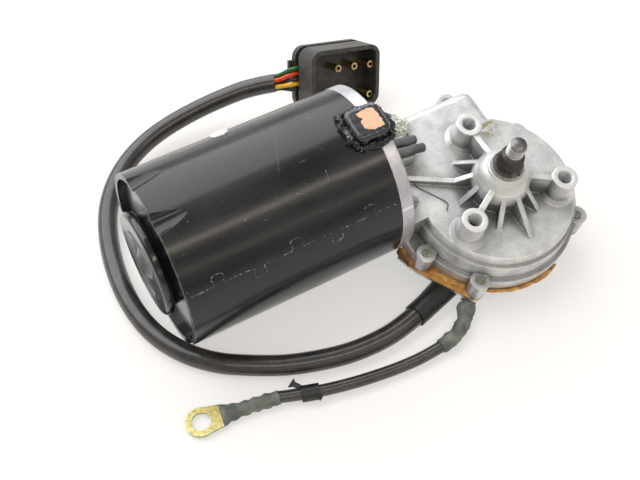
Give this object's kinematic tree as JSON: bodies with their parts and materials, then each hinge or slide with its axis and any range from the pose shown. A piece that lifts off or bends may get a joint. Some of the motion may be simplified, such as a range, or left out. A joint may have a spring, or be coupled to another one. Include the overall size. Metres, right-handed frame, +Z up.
{
  "type": "wiper motor",
  "caption": "Windscreen wiper motor with a rolled steel can, worm gearbox in a ribbed die-cast housing, tilted output shaft and cables.",
  "frame": {"origin": "centre of the footprint of the motor and gearbox on the bench they lie on, cables left out", "axes": "+X along the motor axis from the can to the gearbox, +Z up from the bench; the output shaft leans from +Z towards -Y"},
  "size_m": [0.2111, 0.1858, 0.0852],
  "materials": {
    "bearing_bronze": "sintered",
    "black_insulation": "satin",
    "black_moulding": "satin",
    "black_nylon": "satin",
    "black_paint": "gloss",
    "black_sealant": "gloss",
    "brown_insulation": "satin",
    "brush_carbon": "carbon",
    "cable_rubber": "satin",
    "copper_winding": "enamelled copper",
    "die_casting": "as cast",
    "ferrite": "sintered",
    "green_insulation": "satin",
    "grey_tube": "matte",
    "laminated_iron": "laminated",
    "park_steel": "tinned",
    "pin_brass": "plain",
    "red_insulation": "satin",
    "sealant_amber": "cured sealant",
    "shaft_steel": "ground and phosphated",
    "shrink_tube": "matte",
    "vent_white": "satin",
    "wheel_nylon": "natural",
    "yellow_insulation": "satin",
    "yellow_zinc": "yellow passivated",
    "zinc_steel": "zinc plated"
  },
  "bodies": {
    "motor_body": {"bearing_balls": "shaft_steel", "bearing_outer_race": "shaft_steel", "black_wire": "black_insulation", "breather_tubes": "grey_tube", "brown_wire": "brown_insulation", "brush_boxes": "pin_brass", "brush_card": "black_nylon", "brush_springs": "shaft_steel", "bush_retainer": "shaft_steel", "cable_boot": "cable_rubber", "cap_sealant": "black_sealant", "choke_coils": "copper_winding", "common_brush": "brush_carbon", "connector_pins": "pin_brass", "connector_shroud": "black_moulding", "connector_tail": "black_moulding", "contact_carrier": "black_nylon", "cover_gasket": "sealant_amber", "cover_screws": "yellow_zinc", "gear_housing": "die_casting", "gearbox_cover": "zinc_steel", "green_wire": "green_insulation", "ground_lead": "cable_rubber", "ground_tab": "zinc_steel", "high_speed_brush": "brush_carbon", "lead_clip": "black_nylon", "low_speed_brush": "brush_carbon", "lower_magnet": "ferrite", "lug_sleeve": "shrink_tube", "magnet_clips": "shaft_steel", "motor_cable": "cable_rubber", "motor_can": "black_paint", "output_bush": "bearing_bronze", "park_contacts": "pin_brass", "rear_bush": "bearing_bronze", "rear_cap": "black_paint", "red_wire": "red_insulation", "ring_terminal": "yellow_zinc", "shaft_seal": "cable_rubber", "tab_sleeve": "shrink_tube", "terminal_cap": "black_moulding", "upper_magnet": "ferrite", "vent_plug": "vent_white", "worm_end_bush": "bearing_bronze", "yellow_wire": "yellow_insulation"},
    "armature": {"armature_shaft": "shaft_steel", "armature_core": "laminated_iron", "armature_windings": "copper_winding", "commutator": "copper_winding", "bearing_inner_race": "shaft_steel"},
    "output": {"output_shaft": "shaft_steel", "worm_wheel": "wheel_nylon", "park_disc": "park_steel", "thrust_washer": "shaft_steel", "shaft_circlip": "shaft_steel"}
  },
  "joints": [
    {"name": "armature_spin", "type": "hinge", "parent": "motor_body", "child": "armature", "pos_m": [0.0073, 0.01805, 0.04], "axis": [1, 0, 0], "continuous": true},
    {"name": "output_spin", "type": "hinge", "parent": "motor_body", "child": "output", "pos_m": [0.0583, -0.01901, 0.0316], "axis": [0, -0.2211, 0.9752], "continuous": true}
  ],
  "couplings": [
    {"joint": "output_spin", "follows": "armature_spin", "ratio": 0.016393}
  ]
}
